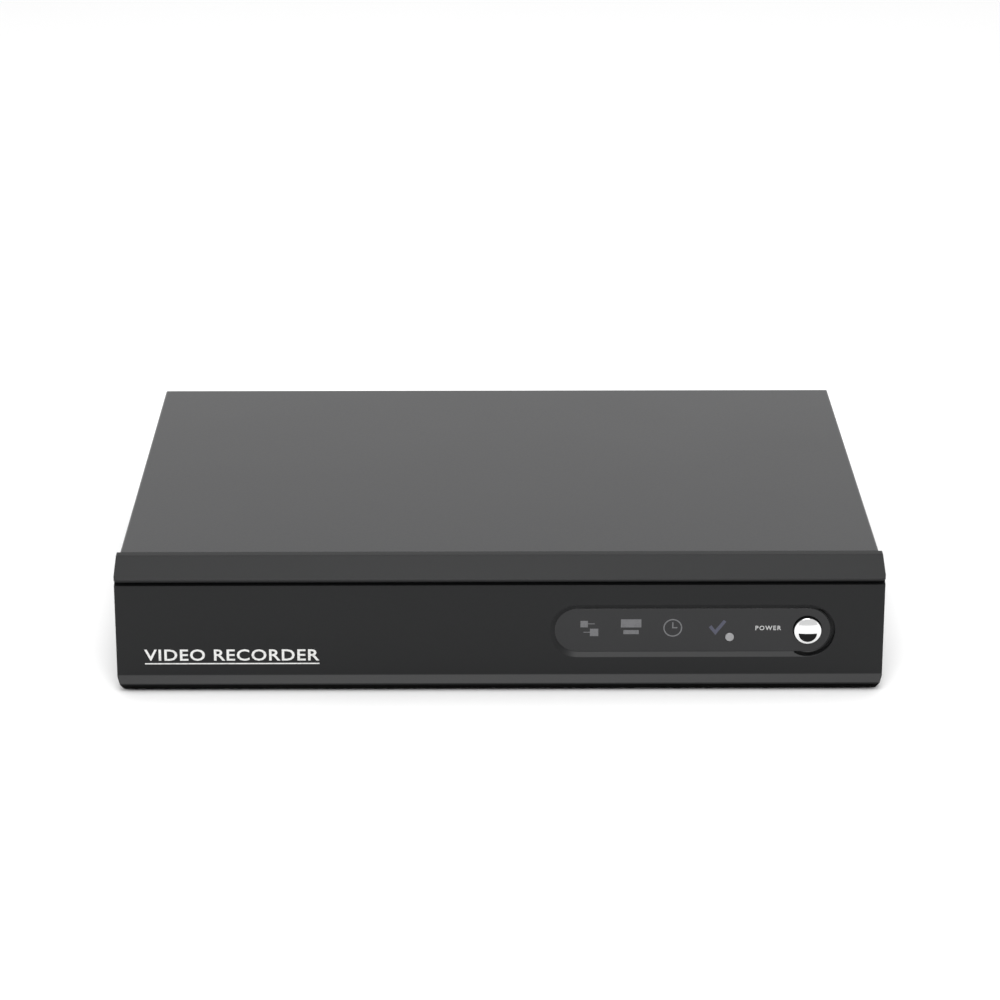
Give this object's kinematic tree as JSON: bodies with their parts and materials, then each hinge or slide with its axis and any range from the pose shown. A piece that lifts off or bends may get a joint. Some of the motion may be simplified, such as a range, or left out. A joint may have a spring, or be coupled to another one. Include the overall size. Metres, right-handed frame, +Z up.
{
  "type": "digital video recorder",
  "caption": "Low, wide video recorder box: folded black steel cover, moulded front with a recessed pill-shaped window and a chrome button, jacks and fan at the back.",
  "frame": {"origin": "on the floor under the feet, at the middle of the outline's width and of its depth, which runs from the front lip to the tips of the video jacks", "axes": "+X to the right of a person facing the front, +Y from the front to the back, +Z up"},
  "size_m": [0.3016, 0.2424, 0.053],
  "materials": {
    "black_enamel": "satin black enamel on steel sheet",
    "zinc_sheet": "bright zinc-plated steel",
    "black_moulding": "fine-textured black moulding",
    "smoked_lens": "glossy smoked plastic",
    "clear_plastic": "clear moulded plastic",
    "infrared_plastic": "dark infrared-passing plastic",
    "chromed_button": "polished chrome",
    "black_rubber": "matt black rubber",
    "black_screw": "black oxide steel",
    "bright_steel": "nickel-plated steel",
    "spring_steel": "thin spring steel",
    "green_board": "green solder mask on glass fibre board",
    "blue_board": "blue solder mask on glass fibre board",
    "chip_black": "black moulded chip body",
    "can_aluminium": "printed aluminium can",
    "black_anodised": "black anodised aluminium",
    "cast_aluminium": "cast aluminium",
    "platter_mirror": "polished disc",
    "white_plastic": "natural white plastic",
    "gold_contact": "gold-plated brass",
    "tinned_shell": "tinned steel",
    "red_plastic": "red plastic",
    "blue_plastic": "blue plastic",
    "green_plastic": "green plastic",
    "ribbon_grey": "grey flat cable",
    "cable_red": "red cable jacket",
    "wire_black": "black wire jackets"
  },
  "bodies": {
    "chassis": {"chassis_base": "black_enamel", "front_bezel": "black_moulding", "display_lens": "smoked_lens", "receiver_window": "infrared_plastic", "rubber_feet": "black_rubber", "cover_screws": "black_screw", "machine_screws": "bright_steel", "switch_body": "black_moulding", "switch_dome": "spring_steel", "front_panel_board": "green_board", "indicator_lamps": "clear_plastic", "infrared_receiver": "infrared_plastic", "light_guide": "clear_plastic", "panel_ribbon_cable": "ribbon_grey", "cable_plugs": "white_plastic", "main_board": "green_board", "board_standoffs": "gold_contact", "processor": "chip_black", "heat_sink": "black_anodised", "memory_chips": "chip_black", "video_chips": "chip_black", "capacitors": "can_aluminium", "power_coils": "chip_black", "coin_cell": "bright_steel", "coin_cell_holder": "white_plastic", "alarm_buzzer": "black_moulding", "board_headers": "white_plastic", "video_jack_housings": "black_moulding", "video_jack_shells": "bright_steel", "video_jack_insulators": "white_plastic", "video_jack_contacts": "gold_contact", "audio_jack_housing": "black_moulding", "audio_jack_shells": "tinned_shell", "audio_jack_inserts": "red_plastic", "monitor_port_shell": "tinned_shell", "monitor_port_insert": "blue_plastic", "monitor_port_nuts": "bright_steel", "network_port_shell": "tinned_shell", "network_port_insert": "black_moulding", "bus_port_shell": "tinned_shell", "bus_port_tongues": "white_plastic", "control_terminal": "green_plastic", "terminal_screws": "bright_steel", "power_inlet_body": "black_moulding", "power_inlet_pin": "tinned_shell", "fan_frame": "black_moulding", "fan_screws": "black_screw", "fan_lead": "wire_black", "drive_casting": "cast_aluminium", "drive_cover": "bright_steel", "drive_board": "blue_board", "drive_screws": "bright_steel", "drive_data_cable": "cable_red", "drive_power_cable": "wire_black"},
    "cover": {"top_cover": "black_enamel"},
    "power_button": {"power_button": "chromed_button", "switch_plunger": "white_plastic"},
    "fan_rotor": {"fan_rotor": "black_moulding"},
    "drive_platters": {"drive_platters": "platter_mirror"},
    "drive_arm": {"drive_arm": "cast_aluminium"}
  },
  "joints": [
    {"name": "cover_lift", "type": "slide", "parent": "chassis", "child": "cover", "axis": [0, 0, 1], "range_m": [0, 0.12]},
    {"name": "power_press", "type": "slide", "parent": "chassis", "child": "power_button", "axis": [0, 1, 0], "range_m": [0, 0.0005], "stiffness_N_per_m": 2000, "springref_m": -0.0004, "deforming": ["switch_dome"]},
    {"name": "fan_spin", "type": "hinge", "parent": "chassis", "child": "fan_rotor", "pos_m": [0.112, 0.10035, 0.0245], "axis": [0, 1, 0], "continuous": true},
    {"name": "platter_spin", "type": "hinge", "parent": "chassis", "child": "drive_platters", "pos_m": [0.056, -0.0502, 0.02], "axis": [0, 0, 1], "continuous": true},
    {"name": "arm_swing", "type": "hinge", "parent": "chassis", "child": "drive_arm", "pos_m": [0.006, -0.0242, 0.02], "axis": [0, 0, 1], "range_deg": [0, 32]}
  ]
}
